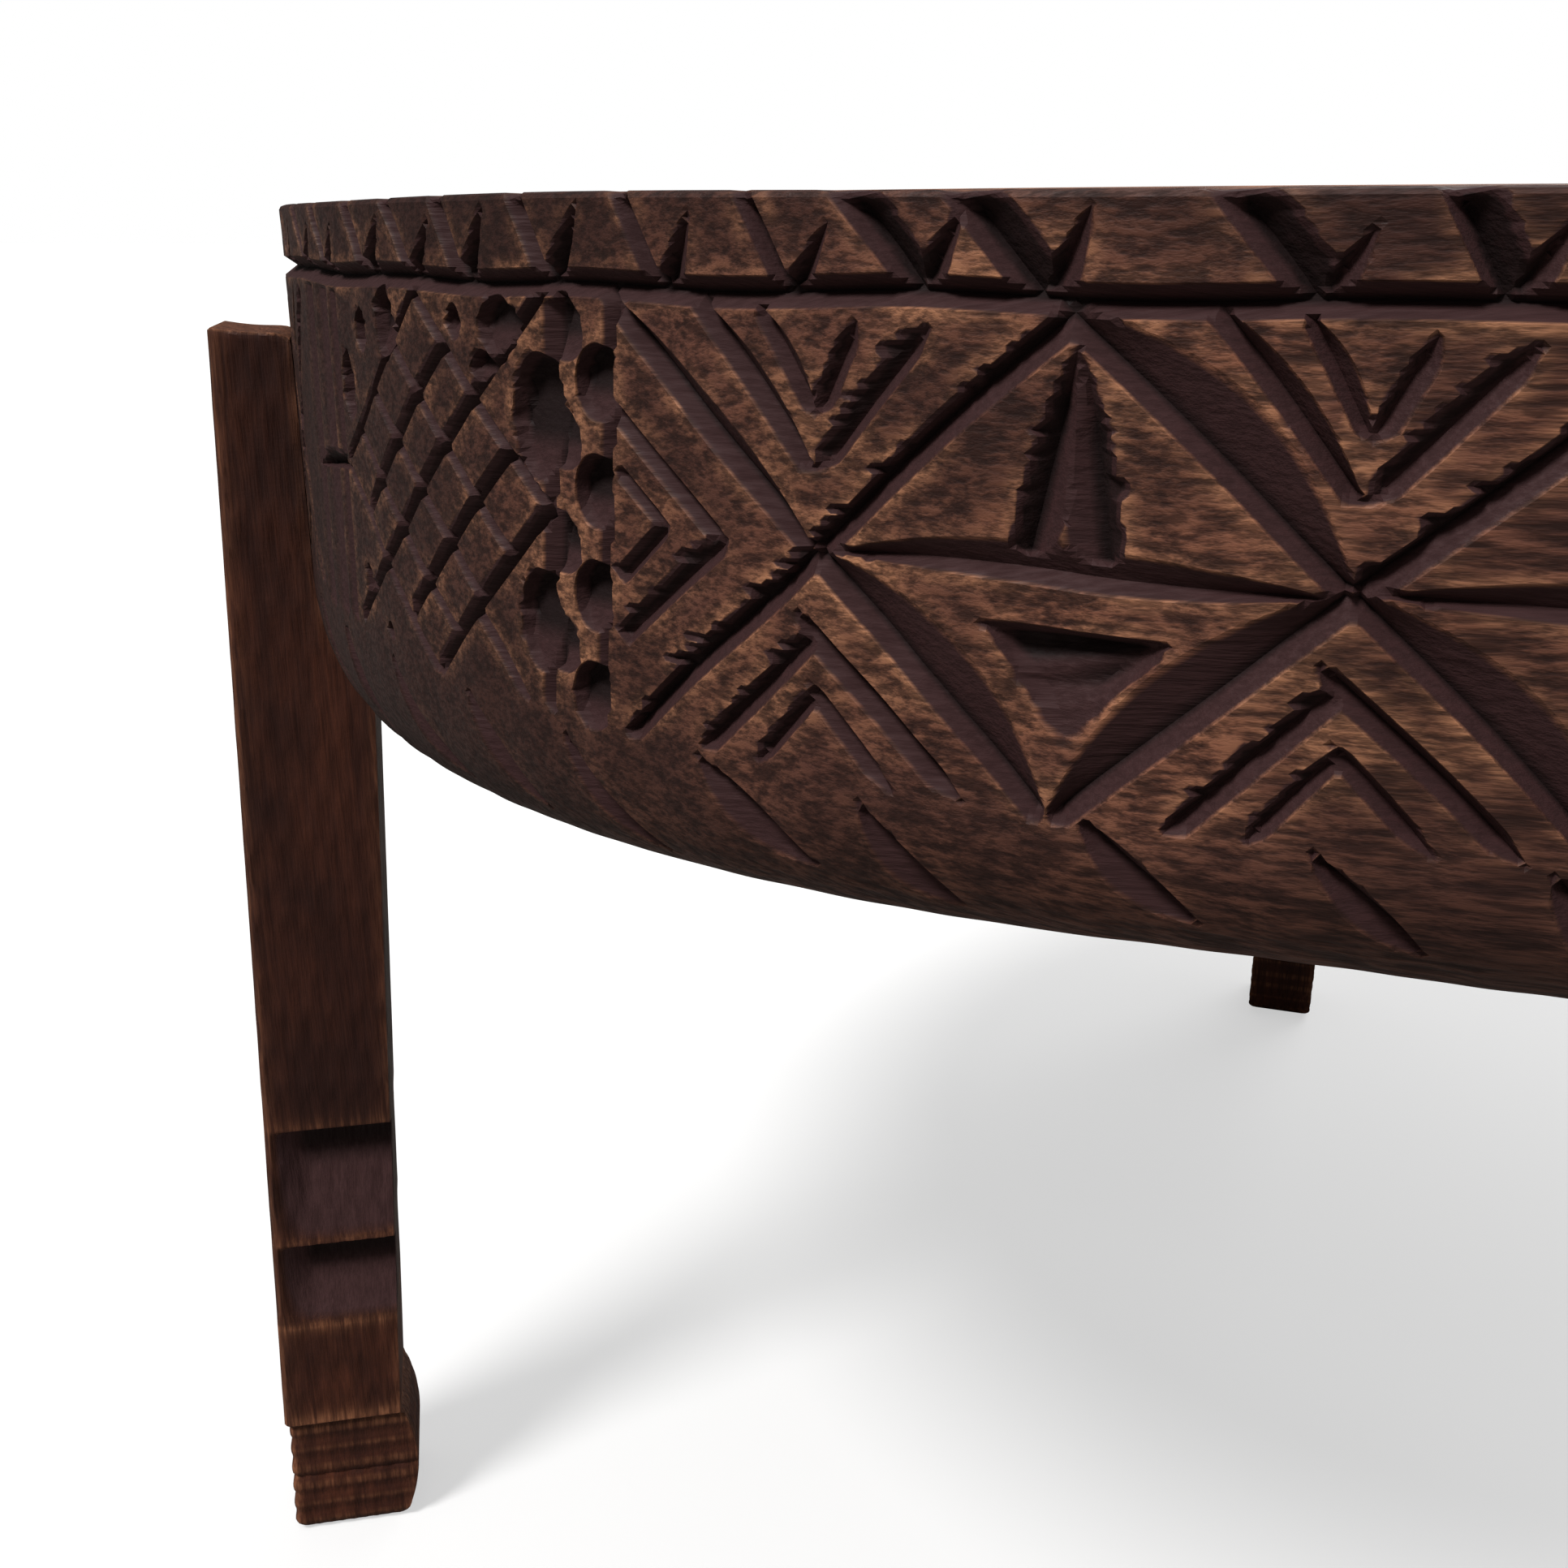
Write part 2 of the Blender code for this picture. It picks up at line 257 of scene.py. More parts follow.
class Chip(Cut):
    """A chip between two lines from its point to its mouth: deep along one edge, rising to the other."""

    def __init__(self, corners, depth=2.6, torn=0):
        self.corners = np.array(corners, float)  # the first two are the ends of the deep edge
        self.depth, self.torn = depth, torn

    def reach(self):
        return box_round(self.corners, 1.5)

    def sides(self, x, y):
        a, b, c = self.corners
        area = (b[0] - a[0]) * (c[1] - a[1]) - (b[1] - a[1]) * (c[0] - a[0])
        to_c = ((b[0] - a[0]) * (y - a[1]) - (b[1] - a[1]) * (x - a[0])) / area
        to_b = ((x - a[0]) * (c[1] - a[1]) - (y - a[1]) * (c[0] - a[0])) / area
        return 1 - to_b - to_c, to_b, to_c

    def cut(self, x, y):
        if self.torn:
            x = x + self.torn * lattice_noise(x / 8, y / 0.8, 5)
        to_a, to_b, to_c = self.sides(x, y)
        inner = np.minimum(np.minimum(to_a, to_b) * 7, 1)
        deep = np.where(to_c > 0, 1 - to_c, 1 + to_c * 9)
        steps = 1 - 0.18 * np.sin(to_c * 17 + x * 0.25) * (self.torn > 0)
        return np.where(inner > 0, self.depth * unit(deep) * inner ** 0.6 * steps, 0)

    def pulls(self, x, y, cell):
        a, b = self.corners[:2]
        length = float(np.hypot(*(b - a)))
        way = (b - a) / length
        dx, dy = x - a[0], y - a[1]
        along, off = dx * way[0] + dy * way[1], dx * way[1] - dy * way[0]
        return [snap(off, (way[1], -way[0]), (along > 0) & (along < length), cell)]


class Seat(Cut):
    """The round seat in the inner wall that a screw's head lies in."""

    def __init__(self, centre, radius, depth):
        self.centre, self.radius, self.depth = centre, radius, depth

    def reach(self):
        return box_round([self.centre], self.radius + 3)

    def cut(self, x, y):
        far = np.hypot(x - self.centre[0], y - self.centre[1])
        return self.depth * unit((self.radius + 0.05 - far) / 0.6)

    def pulls(self, x, y, cell):
        far = np.hypot(x - self.centre[0], y - self.centre[1]) + 1e-9
        found = []
        for radius in (self.radius - 0.55, self.radius):
            share = radius / far - 1
            found.append((np.abs(far - radius) < 0.45 * cell, share * (x - self.centre[0]),
                          share * (y - self.centre[1])))
        return found


def cell_point(crossing, u, v):
    """A point of a cell: u from -1 to 1 across it, v from -1 at the band's top to 1 at its bottom."""
    half = BAND_MID - BAND_TOP if v < 0 else BAND_LOW - BAND_MID
    return crossing + u * CELL, BAND_MID + v * half


def knife_cuts(at, rows):
    """The grooves of a table. Its rows hold up to nine values: two ends, which at places, up, down, depth,
    leaf, run, torn and shut."""
    return [Groove(at(*start), at(*end), *rest) for start, end, *rest in rows]


def crossing_cuts(crossing, leaves):
    """The four arms of one X, and the nested chevrons above and below it. leaves holds the widths of the
    arms' leaf-shaped upper faces: upper left, lower left, lower right."""
    upper_left, lower_left, lower_right = leaves
    return knife_cuts(lambda u, v: cell_point(crossing, u, v), (
        ((0, 0), (1.04, -1.06), 1.2, 3.3, 2.9, "", (0.5, 0.5), 1),
        ((-1.04, -1.06), (0, 0), upper_left, 2.6, 2.9, "u", (0.5, 0.5)),
        ((-1, 1), (0, 0), lower_left, 3.3, 2.9, "u", (2, 0.5), 0 if lower_left > 5 else 1.5),
        ((0, 0), (1, 1), lower_right, 2.6, 2.9, "u", (0.5, 2)),
        ((-0.54, -1.06), (0, -0.34), 2.4, 2.4, 2.6, "u", (0.5, 2)),
        ((0.02, -0.34), (0.49, -0.95), 2.6, 2.2, 2.2, "", (3, 5), 1.3),
        ((-0.25, -1.02), (0, -0.57), 2, 1.8, 2.1, "u", (0.5, 2)),
        ((0, -0.57), (0.17, -0.97), 1.6, 2.6, 2, "", (2, 4), 0.7),
        ((-0.09, 0.26), (0.66, 0.98), 1.3, 2.8, 2.6, "", (4, 6)),
        ((-0.56, 1), (-0.01, 0.36), 1.5, 2.6, 2.4, "", (3, 2), 1),
        ((-0.02, 0.57), (0.36, 1), 1.2, 2.2, 2.1, "", (2, 6)),
        ((-0.28, 1), (0.01, 0.61), 1.6, 1.7, 2, "", (3, 2), 0.6)))


def diamond_cuts(left):
    """The flower inside the diamond between two crossings. left is the crossing to its left."""
    def at(u, v):
        return cell_point(left, u, v)
    cuts = knife_cuts(at, (
        ((0.06, 0.01), (1.95, 0.03), 4.3, 2.3, 2.3, "ud", (6, 6)),
        ((1.03, -0.9), (0.86, -0.02), 2.6, 4.6, 3.3, "ud", (9, 1), 0.7, 0.7),
        ((1.05, -0.86), (1.16, -0.02), 2.6, 5.6, 3.3, "ud", (11, 1), 0.8, 0.66)))
    return cuts + [Chip((at(0.72, 0.28), at(1.4, 0.27), at(1.05, 0.72)), depth=3.4, torn=0.8)]


def end_cuts(crossing, side):
    """The chevrons on their side, between the panel's end line and its last crossing."""
    return knife_cuts(lambda u, v: cell_point(crossing, side * u, v), (
        ((1, -0.52), (0.4, 0.03), 1, 2.6, 2.1, "", (0.5, 3)),
        ((1, 0.55), (0.42, 0.01), 2.2, 2.2, 2.2, "", (0.5, 2), 1.3),
        ((1, -0.24), (0.73, 0), 1, 1.9, 1.8, "", (0.5, 2)),
        ((1, 0.28), (0.72, -0.01), 2, 1.6, 1.9, "", (0.5, 2), 0.9)))


def upright_cut(line, side, outward, inward, depth):
    """An upright cut down the whole band. outward and inward are the widths of its faces."""
    up, down = (outward, inward) if side < 0 else (inward, outward)
    return Groove((line, BAND_TOP), (upright(line, BAND_LOW), BAND_LOW), up=up, down=down, depth=depth,
                  run=(0.5, 2))


def strip_cuts(inner, side):
    """The strip beside a panel: two lines, and scoops that open to one and the other in turn. inner is
    the line on the panel's side, and side is -1 where the strip lies to the left of it."""
    outer = inner + side * STRIP_W
    lines = ((inner, 2.4, 0.5, 2.2), (outer, 3.4, 0.5, 2.8))
    cuts = [upright_cut(line, side, *faces) for line, *faces in lines]
    for step in range(4):
        top = BAND_TOP + 4.4 + step * SCOOP_PITCH
        cuts.append(Gouge((upright(inner, top) + side * 4, top + 8.6), 11, 12.8, 3.8, line=(inner, side)))
        cuts.append(Gouge((upright(outer, top) - side * 1.6, top + 0.2), 10.4, 11.4, 3.8, lean=-0.16 * side,
                          line=(outer, -side)))
    return cuts


def lattice_cuts(near, side):
    """A net of small diamonds inside a big one, with scoops in its corners. near is its edge on the
    panel's side."""
    far = near + side * LATTICE_W
    middle = (near + far) / 2
    waist = 51.5
    def at(u, v):
        """u from -1 at the edge on the panel's side to 1 at the other edge, v from -1 to 1 down."""
        half = waist - BAND_TOP if v < 0 else BAND_LOW - waist
        return middle + u * (far - middle), waist + v * half
    rows = []
    for share in (0, 0.26, 0.5, 0.75, 1):
        ends = ((-share, share - 1), (1 - share, share)) if share != 0.5 else ((-1, -1), (1, 0.97))
        rows.append((*ends, 2.9 if share > 0.1 else 1.6, 0.7, 3, "", (1, 2.5), 0.2))
    for share in (0, 0.27, 0.53, 0.77, 1):
        rows.append(((share, share - 1), (share - 1, share), 0.8, 2, 1.7, "", (1, 2)))
    rows.append(((-0.4, 0.55), (-0.8, 0.98), 0.8, 2.6, 1.8, "", (1, 4)))
    scoops = (((-0.94, -0.44), 14, 22, 4.2), ((-0.9, 0.54), 12.5, 19, 3.8),
              ((-0.68, -0.86), 11, 11, 3.2), ((-0.55, -0.66), 6, 6.5, 3),
              ((-0.34, -0.87), 5.2, 7, 3), ((0.36, -0.82), 8, 14, 3.4),
              ((0.66, -0.78), 6, 9, 3.2), ((0.9, -0.46), 6.2, 15, 3.2),
              ((0.84, 0.66), 4, 7, 2.2), ((0.55, 0.9), 3.4, 4.6, 2))
    return knife_cuts(at, rows) + [Gouge(at(*place), *size, torn=0.08) for place, *size in scoops]


def facet_cuts(line, side):
    """The plain upright facets between a net and a leg's panel, with a short slit halfway down."""
    facets = ((0, 5, 1.2), (8, 8, 1.4), (22, 6, 3))
    cuts = [upright_cut(line + side * beyond, side, *widths, 1.3) for beyond, *widths in facets]
    slit = sorted(((line + side * 29, BAND_MID + 5), (line + side * 0.5, BAND_MID + 2)))
    return cuts + [Groove(*slit, up=3, down=0.8, depth=3.8, run=(5, 3), torn=0.3)]


def leg_panel_cuts(centre):
    """The narrow panel behind a leg: an X on each side of the plain patch that the leg covers."""
    cuts = []
    half = SECTOR / 2 * DEG - (PANEL_END + STRIP_W + STRIP_BAND + LATTICE_W) - FACETS_W
    for side in (-1, 1):
        inner, outer = centre + side * PAD_HALF, centre + side * half
        middle, reach = (inner + outer) / 2, (outer - inner) / 2
        for up in (-1, 1):
            for over in (-1, 1):
                end = (middle + over * reach, BAND_MID + up * (BAND_MID - BAND_TOP - 1))
                cuts.append(Groove((middle, BAND_MID), end, up=1.4, down=2.8, depth=2.3, run=(0.5, 2),
                                   torn=0.6 if up * over < 0 else 0))
            for over, width in ((-0.55, 1), (0.55, 1.2)):
                start = (middle + over * reach, BAND_MID + up * 34)
                cuts.append(Groove(start, (middle, BAND_MID + up * 17), up=width, down=2.2, depth=1.8))
    return cuts


def rim_cuts(centre, draw):
    """The zigzag across the rim band: a long slanting cut, then a short chip beside it."""
    places = list(RIM_ZIGZAG)
    while places[0][0] > -56:
        places.insert(0, (places[0][0] - draw.uniform(3.9, 5.3), draw.uniform(1.4, 2.2), draw.uniform(1, 4)))
    while places[-1][0] < 52:
        places.append((places[-1][0] + draw.uniform(4.2, 6.2), draw.uniform(1.6, 2.4), draw.uniform(1, 4)))
    cuts = []
    for start, lean, height in places:
        x, low = centre + start * DEG, centre + (start + lean) * DEG
        wide = draw.uniform(3.2, 6) if start > -15 else draw.uniform(0.9, 1.8)
        above = (x - (low - x) * RIM_CUT_RISE / GROOVE_LINE, -RIM_CUT_RISE)
        cuts.append(Groove(above, (low, GROOVE_LINE), up=wide, down=draw.uniform(2.2, 3.2), depth=3.7,
                           run=(1, 1), torn=0.35 if wide > 3 else 0))
        cuts.append(Groove((low + 0.3, GROOVE_LINE - 0.3), (low + draw.uniform(5, 8), height),
                           up=draw.uniform(1.4, 2.4), down=draw.uniform(3, 4.2), depth=3.2,
                           run=(1, 11), torn=0.25))
    return cuts


def low_cuts(centre, draw):
    """Single slanting cuts in the plain band under the pattern."""
    cuts = []
    for step in range(-8, 8):
        x = centre + (step * LOW_PITCH + draw.uniform(-0.5, 0.5)) * DEG
        start = (x, BAND_LOW + draw.uniform(-1.5, 2))
        end = (x + draw.uniform(17, 23), start[1] + draw.uniform(14, 19))
        cuts.append(Groove(start, end, up=draw.uniform(1.2, 2.2), down=draw.uniform(3.6, 5.4), depth=2.7,
                           leaf="ud", run=(3, 5)))
    return cuts


def sector_cuts(number):
    """Every cut of one third of the wall, from one leg to the next."""
    draw = np.random.default_rng(40 + number)
    centre = number * SECTOR * DEG
    mid = centre + PATTERN_TURN * DEG
    net = PANEL_END + STRIP_W + STRIP_BAND
    cuts = []
    for place, leaves in ((-2, (3.4, 1.6, 7.6)), (0, (8, 7.6, 7.2)), (2, (6.8, 7, 3.2))):
        cuts += crossing_cuts(mid + place * CELL, leaves)
    for place in (-2, 0):
        cuts += diamond_cuts(mid + place * CELL)
    for side in (-1, 1):
        cuts += end_cuts(mid + 2 * side * CELL, side)
        cuts += strip_cuts(mid + side * PANEL_END, side)
        cuts += lattice_cuts(mid + side * net, side)
        cuts += facet_cuts(mid + side * (net + LATTICE_W), side)
    return cuts + leg_panel_cuts(centre + SECTOR / 2 * DEG) + rim_cuts(centre, draw) + low_cuts(centre, draw)


def carve(cuts, x_grid, y_grid):
    """How far the points of a grid round the bowl are moved, so that they lie on the cuts' lines, how
    deep the cuts are at each point, and how torn the wood is there."""
    columns, cell = len(x_grid), x_grid[1] - x_grid[0]
    shift_x, shift_y, depth, torn = np.zeros((4, len(y_grid), columns))
    patches = []
    for cut in cuts:
        low, high = cut.reach()
        wide = np.arange(math.floor(low[0] / cell), math.ceil(high[0] / cell) + 1)
        rows = np.nonzero((y_grid >= low[1]) & (y_grid <= high[1]))[0]
        if len(rows):
            patches.append((cut, np.ix_(rows, wide % columns), *np.meshgrid(wide * cell, y_grid[rows])))
    pulls = [(spot, cut.pulls(x, y, cell)) for cut, spot, x, y in patches]
    moves = [(spot, *own[0]) for spot, own in pulls]  # the cuts' lines come before their edges
    moves += [(spot, *move) for spot, own in pulls for move in own[1:]]
    for spot, near, dx, dy in moves:
        free = near & (shift_x[spot] == 0) & (shift_y[spot] == 0)
        shift_x[spot] = np.where(free, dx, shift_x[spot])
        shift_y[spot] = np.where(free, dy, shift_y[spot])
    for cut, spot, x, y in patches:
        x, y = x + shift_x[spot], y + shift_y[spot]
        own = cut.cut(x, y)
        torn[spot] = np.where(own > depth[spot], cut.ragged(x, y), torn[spot])
        depth[spot] = np.maximum(depth[spot], own)
    return shift_x, shift_y, depth, torn


def groove_depth(y):
    """The turned groove under the rim band: a steep upper wall and a longer lower one."""
    upper = unit((y - GROOVE_TOP) / (GROOVE_LINE - GROOVE_TOP))
    lower = unit((BAND_TOP - y) / (BAND_TOP - GROOVE_LINE))
    return GROOVE_DEEP * np.where(y < GROOVE_LINE, upper, lower)


# ---- the bowl's mesh

def link(name, data):
    """Puts a new object with this data into the scene."""
    made = bpy.data.objects.new(name, data)
    bpy.context.scene.collection.objects.link(made)
    return made


class RingMesh:
    """A closed mesh of rings of points, each joined to the one before it. A ring has as many points as
    the last one, half as many, or twice as many."""

    def __init__(self):
        self.points, self.faces, self.count, self.last = [], [], 0, None
        self.layers = {"carve": [], "wear": [], "warmth_and_painted_light": []}

    def store(self, points, carve, wear, warmth_and_painted_light):
        start = self.count
        self.points.append(points)
        for parts, value in zip(self.layers.values(), (carve, wear, warmth_and_painted_light)):
            parts.append(np.broadcast_to(value, len(points)).astype(float))
        self.count += len(points)
        return start

    def ring(self, points, carve=0, wear=0, warmth_and_painted_light=0.5):
        start = self.store(points, carve, wear, warmth_and_painted_light)
        if self.last is not None:
            self.join(self.last, (start, len(points)))
        self.last = (start, len(points))

    def join(self, old, new):
        (a, n), (b, m) = old, new
        j = np.arange(min(n, m))
        k = (j + 1) % len(j)
        if n == m:
            faces = (a + j, b + j, b + k, a + k)
        elif m == 2 * n:
            faces = (a + j, b + 2 * j, b + 2 * j + 1, b + 2 * k, a + k)
        else:
            faces = (a + 2 * j, b + j, b + k, a + 2 * k, a + 2 * j + 1)
        self.faces += np.stack(faces, 1).tolist()

    def block(self, points, level, carve, wear, warmth_and_painted_light):
        """Several rings at once. The squares between them are split between the corners that differ
        least in level, the depth, so that the cuts' lines stay sharp."""
        rows, n = points.shape[:2]
        start = self.store(points.reshape(-1, 3), carve.reshape(-1), wear.reshape(-1), warmth_and_painted_light.reshape(-1))
        self.join(self.last, (start, n))
        ids = start + np.arange(rows * n).reshape(rows, n)
        right = np.roll(ids, -1, 1)
        a, b, c, d = (corner.reshape(-1) for corner in (ids[:-1], ids[1:], right[1:], right[:-1]))
        def gap(one, other):
            return np.abs(level.reshape(-1)[one - start] - level.reshape(-1)[other - start])
        straight = gap(a, c) <= gap(b, d)
        for keep, split in ((straight, ((a, b, c), (a, c, d))), (~straight, ((a, b, d), (b, c, d)))):
            for corners in split:
                self.faces += np.stack([corner[keep] for corner in corners], 1).tolist()
        self.last = (start + (rows - 1) * n, n)

    def cap(self, point):
        return self.store(np.array([point]), 0, 0, 0.5)

    def close_start(self):
        """Joins the very first point, a cap, to the first ring after it."""
        n = len(self.points[1])
        j = np.arange(n)
        self.faces += np.stack((0 * j, 1 + j, 1 + (j + 1) % n), 1).tolist()

    def end_cap(self, point):
        centre = self.cap(point)
        start, n = self.last
        j = np.arange(n)
        self.faces += np.stack((start + j, centre + 0 * j, start + (j + 1) % n), 1).tolist()

    def object(self, name, sharp):
        mesh = bpy.data.meshes.new(name)
        mesh.from_pydata(np.concatenate(self.points).tolist(), [], self.faces)
        mesh.update()
        for layer, parts in self.layers.items():
            made = mesh.attributes.new(layer, "FLOAT", "POINT")
            made.data.foreach_set("value", np.concatenate(parts).astype(np.float32))
        mesh.shade_smooth()
        mesh.set_sharp_from_angle(angle=math.radians(sharp))
        return link(name, mesh)


def azimuths(count):
    return np.arange(count) * math.tau / count


def ring_points(azimuth, radius, height):
    """Points round the bowl's axis. Azimuth in radians from the front, towards the right."""
    azimuth, radius, height = np.broadcast_arrays(azimuth, radius, height)
    return np.stack((radius * np.sin(azimuth), AXIS_Y - radius * np.cos(azimuth), height), -1)


def scoop_marks(azimuth, along, size, depth, seed):
    """Shallow overlapping tool marks. along is a length in metres across the marks' rows."""
    row = np.floor(along / size)
    around = np.round(math.tau * 0.2 / size)
    place = azimuth / math.tau * around + 0.5 * (row % 2) + 0.23 * lattice_noise(row, 0.5, seed)
    across, down = place - np.floor(place) - 0.5, along / size - row - 0.5
    return depth * unit(1.1 - 2.6 * (across ** 2 + down ** 2))


def outer_wall(azimuth, y):
    """Radius and height of the outer wall, down to the foot of the turn under it, and the way into the
    wood. y in millimetres."""
    edge, wall_end = EDGE_R / MM, WALL_H / MM
    drop = TURN_DROP + LEG_DIP * leg_nearness(azimuth)
    roll = np.clip((edge - y) / edge, 0, math.pi / 2)
    turn = unit((y - wall_end) / TURN_LENGTH) * math.pi / 2
    radius = RIM_R - EDGE_R * (1 - np.cos(roll)) - TURN_RUN * (1 - np.cos(turn))
    height = RIM_Z - MM * np.clip(y, edge, wall_end) + EDGE_R * np.sin(roll) - drop * np.sin(turn)
    into_r = -np.cos(roll) * np.cos(turn) / TURN_RUN
    into_z = -np.sin(roll) / TURN_RUN + np.sin(turn) / drop
    size = np.hypot(into_r, into_z)
    return radius, height, into_r / size, into_z / size


def disc_rings(body, bands, marks, fade_r, height, way, warmth_and_painted_light):
    """Level rings with tool marks, which run out within fade_r of the middle. Each band holds its points
    a ring, its first and last radius, and how many rings it has."""
    for count, start, end, steps in bands:
        azimuth = azimuths(count)
        for radius in np.linspace(start, end, steps):
            deep = scoop_marks(azimuth, radius, *marks) * min(radius / fade_r, 1)
            body.ring(ring_points(azimuth, radius, height + way * deep), warmth_and_painted_light=warmth_and_painted_light)


def inner_rings(body):
    """The inside, from the middle of the floor up to the rim's inner edge."""
    body.cap((0, AXIS_Y, FLOOR_Z - 0.0002))
    floor_r = INNER_R - INNER_BEND_R
    bands = (120, 0.006, 0.03, 5), (240, 0.036, 0.085, 10), (480, 0.092, floor_r, 34)
    disc_rings(body, bands, (0.016, 0.0004, 4), 0.035, FLOOR_Z, way=-1, warmth_and_painted_light=0.5)
    body.close_start()
    azimuth = azimuths(960)
    for bend in np.linspace(-90, 0, 18)[1:]:
        bend = math.radians(bend)
        into = 0.0003 + scoop_marks(azimuth, INNER_BEND_R * bend, 0.016, 0.0003, 5)
        arc = INNER_BEND_R + into
        body.ring(ring_points(azimuth, floor_r + arc * math.cos(bend),
                              FLOOR_Z + INNER_BEND_R + arc * math.sin(bend)))
    wall_low = (RIM_Z - FLOOR_Z - INNER_BEND_R) / MM
    y_grid = np.linspace(EDGE_R / MM, wall_low - 1.5, 42)
    x_grid = azimuth * INNER_R / MM
    shift_x, shift_y, depth, _ = carve(screw_seats(), x_grid, y_grid)
    for row in range(len(y_grid) - 1, -1, -1):
        y = y_grid[row] + shift_y[row]
        turn = azimuth + shift_x[row] * MM / INNER_R
        marks = 0.0003 + scoop_marks(turn, y * MM, 0.016, 0.0003, 6)
        into = np.maximum(marks, depth[row] * MM) * np.clip(y / 8, 0.2, 1)
        body.ring(ring_points(turn, INNER_R + into, RIM_Z - y * MM), carve=depth[row] / 3)
    for roll in (22.5, 45, 67.5, 90):
        roll = math.radians(roll)
        body.ring(ring_points(azimuth, INNER_R + EDGE_R * (1 - math.cos(roll)),
                              RIM_Z - EDGE_R * (1 - math.sin(roll))), wear=0.9, warmth_and_painted_light=0.8)


def screw_seats():
    """A seat at each screw node of the frame."""
    seats = []
    for name in SCREWS:
        low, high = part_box(name)
        middle = [(low[i] + high[i]) / 2 for i in range(3)]
        turn = math.atan2(middle[0], AXIS_Y - middle[1]) % math.tau
        seats.append(Seat((turn * INNER_R / MM, (RIM_Z - middle[2]) / MM), radius=5.3, depth=1))
    return seats


def rim_dip(azimuth):
    """How far the worn rim's outer edge lies below its highest place."""
    wave = np.sin(5 * azimuth + 0.4) + 0.8 * np.sin(8 * azimuth + 2) + 0.5 * np.sin(13 * azimuth + 4.1)
    return 0.0009 * (0.5 + wave / 4.6)


def blurred(grid, reach):
    """A box blur that closes round the bowl."""
    total = np.zeros_like(grid)
    padded = np.pad(grid, ((reach, reach), (0, 0)), mode="edge")
    for down in range(2 * reach + 1):
        for across in range(-reach, reach + 1):
            total += np.roll(padded[down:down + len(grid)], across, 1)
    return total / (2 * reach + 1) ** 2


def carved_rings(body):
    """The rim's top and the carved outside, down to the foot of the turn."""
    azimuth = azimuths(960)
    for radius in np.linspace(INNER_R + EDGE_R, RIM_R - EDGE_R, 10)[1:-1]:
        outward = (radius - INNER_R) / (RIM_R - INNER_R)
        rough = 0.00006 * np.abs(2 + ripple(azimuth, radius / MM, 9, 60, 12))
        height = RIM_Z - rough - rim_dip(azimuth) * outward
        body.ring(ring_points(azimuth, radius, height), wear=0.25, warmth_and_painted_light=0.7)
    foot = WALL_H / MM + TURN_LENGTH
    lines = (EDGE_R / MM * (1 - math.pi / 2), GROOVE_TOP, GROOVE_LINE, BAND_TOP, BAND_MID, BAND_LOW, foot)
    y_grid = [np.linspace(top, low, steps, endpoint=False)
              for top, low, steps in zip(lines, lines[1:], (14, 3, 3, 40, 40, 33))]
    y_grid = np.concatenate((*y_grid, [foot]))
    azimuth = azimuths(COLUMNS)
    x_grid = azimuth * RIM_R / MM
    cuts = [cut for number in range(LEG_COUNT) for cut in sector_cuts(number)]
    shift_x, shift_y, depth, torn = carve(cuts, x_grid, y_grid)
    y = y_grid[:, None] + shift_y
    depth = depth * np.clip((y + 1) / 3.5, 0.15, 1)
    calm = unit(np.minimum(y / 8, (foot - y) / 14))
    depth = np.maximum(depth * unit((foot - y) / 5), groove_depth(y))
    scraped = 0.16 * (1 + ripple(azimuth, y, 3, 150, 26)) * calm
    turn = azimuth + (shift_x + 0.45 * ripple(azimuth, y, 1, 36, 90)) * MM / RIM_R
    y = y + 0.35 * ripple(azimuth, y, 2, 36, 90) * calm
    radius, height, into_r, into_z = outer_wall(turn, y)
    height = height - rim_dip(turn) * unit(1 - y / GROOVE_TOP)
    into = (depth + np.clip(scraped, 0, None)) * MM
    points = ring_points(turn, radius + into_r * into, height + into_z * into)
    smooth = blurred(depth, 3)
    patchy = 0.5 + 0.8 * lattice_noise(x_grid / 11, y / 7, 12)
    patchy = patchy + 0.4 * lattice_noise(x_grid / 3, y / 2, 13)
    wear = unit((smooth - depth) / 0.8) * np.exp(-depth / 0.35) * unit(patchy)
    wear = wear * (0.2 + 0.8 * unit((BAND_LOW + 2 - y) / 8))
    # Painted light and shade: the wall is painted lighter and warmer in the middle of the pattern, near the
    # cuts and midway between the legs, and darker towards the rim, the foot of the band and the legs.
    near_cut = 0.56 + 0.44 * unit(blurred(depth, 7) / 1.3)
    least = 0.3 + 0.2 * unit((y - 60) / 30)
    high = least + (1 - least) * np.exp(-((y - 48) / 38) ** 6)
    warmth_and_painted_light = (0.5 + 0.5 * np.cos(LEG_COUNT * (azimuth + math.radians(4)))) ** 3 * high * near_cut
    # Painted shade: the torn upper faces of the cuts, which face down, are painted near black by lifting
    # carve to the deep-cut colour.
    dark = torn * unit(depth / 0.8) * (depth > groove_depth(y_grid)[:, None])
    body.block(points, depth, carve=unit(np.maximum(depth / 3, 0.93 * dark)), wear=wear, warmth_and_painted_light=warmth_and_painted_light)


